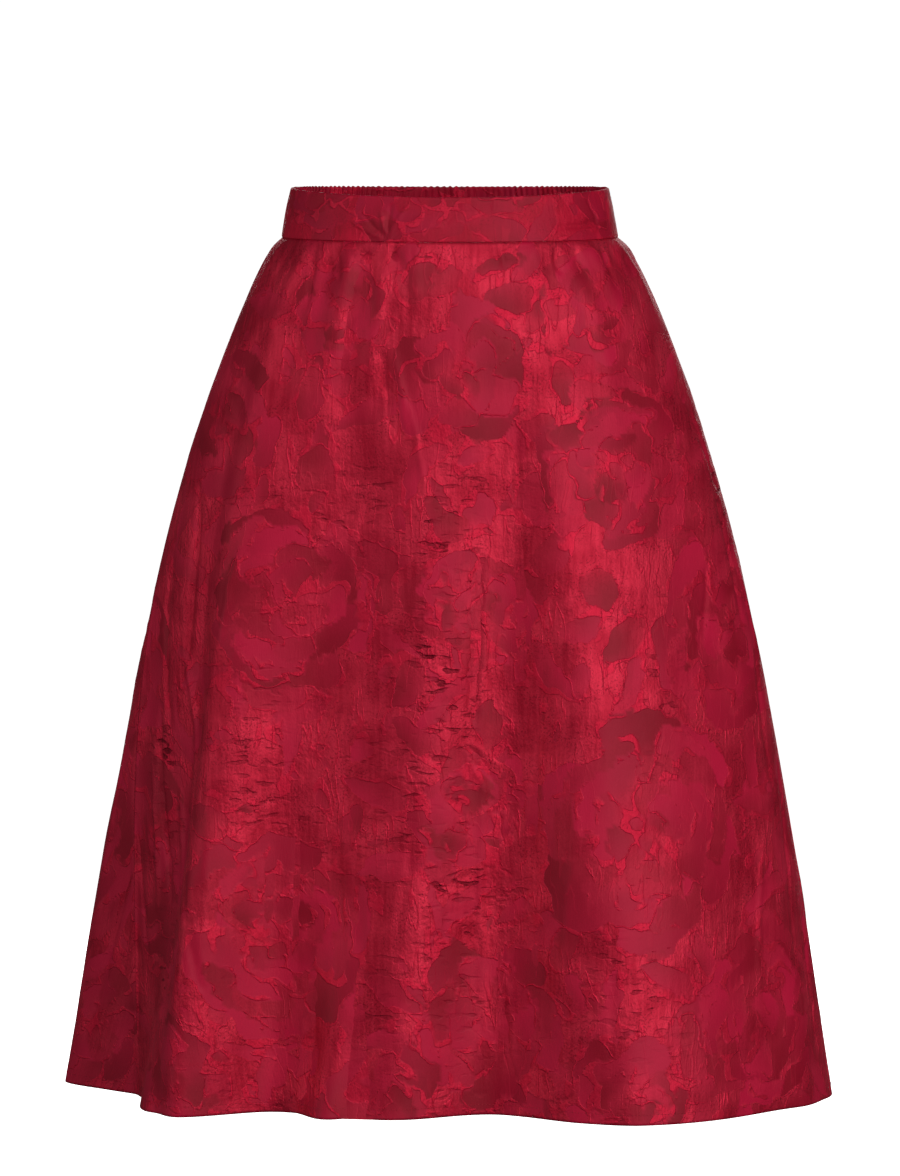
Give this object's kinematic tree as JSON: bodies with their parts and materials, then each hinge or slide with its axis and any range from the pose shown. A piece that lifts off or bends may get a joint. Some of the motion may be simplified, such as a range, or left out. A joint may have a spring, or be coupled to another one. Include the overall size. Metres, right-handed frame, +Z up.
{
  "type": "midi skirt",
  "caption": "Worn A-line midi skirt in floral jacquard with a flat front waistband, an elasticated back waistband and soft flutes to a narrow hem, hollow and open at waist and hem.",
  "frame": {"origin": "centre of the waist opening at half the height of the waistband, where the wearer's waist holds the skirt", "axes": "+Z up along the body, front of the skirt towards -Y, +X to the right of someone who looks at the front"},
  "size_m": [0.631, 0.379, 0.7438],
  "materials": {
    "panel_cloth": "woven satin jacquard",
    "band_cloth": "woven satin jacquard over fusing",
    "casing_cloth": "woven satin jacquard gathered on elastic"
  },
  "bodies": {
    "root": {"skirt_front": "panel_cloth", "skirt_back": "panel_cloth", "waistband_front": "band_cloth", "waistband_back": "casing_cloth"}
  },
  "joints": []
}
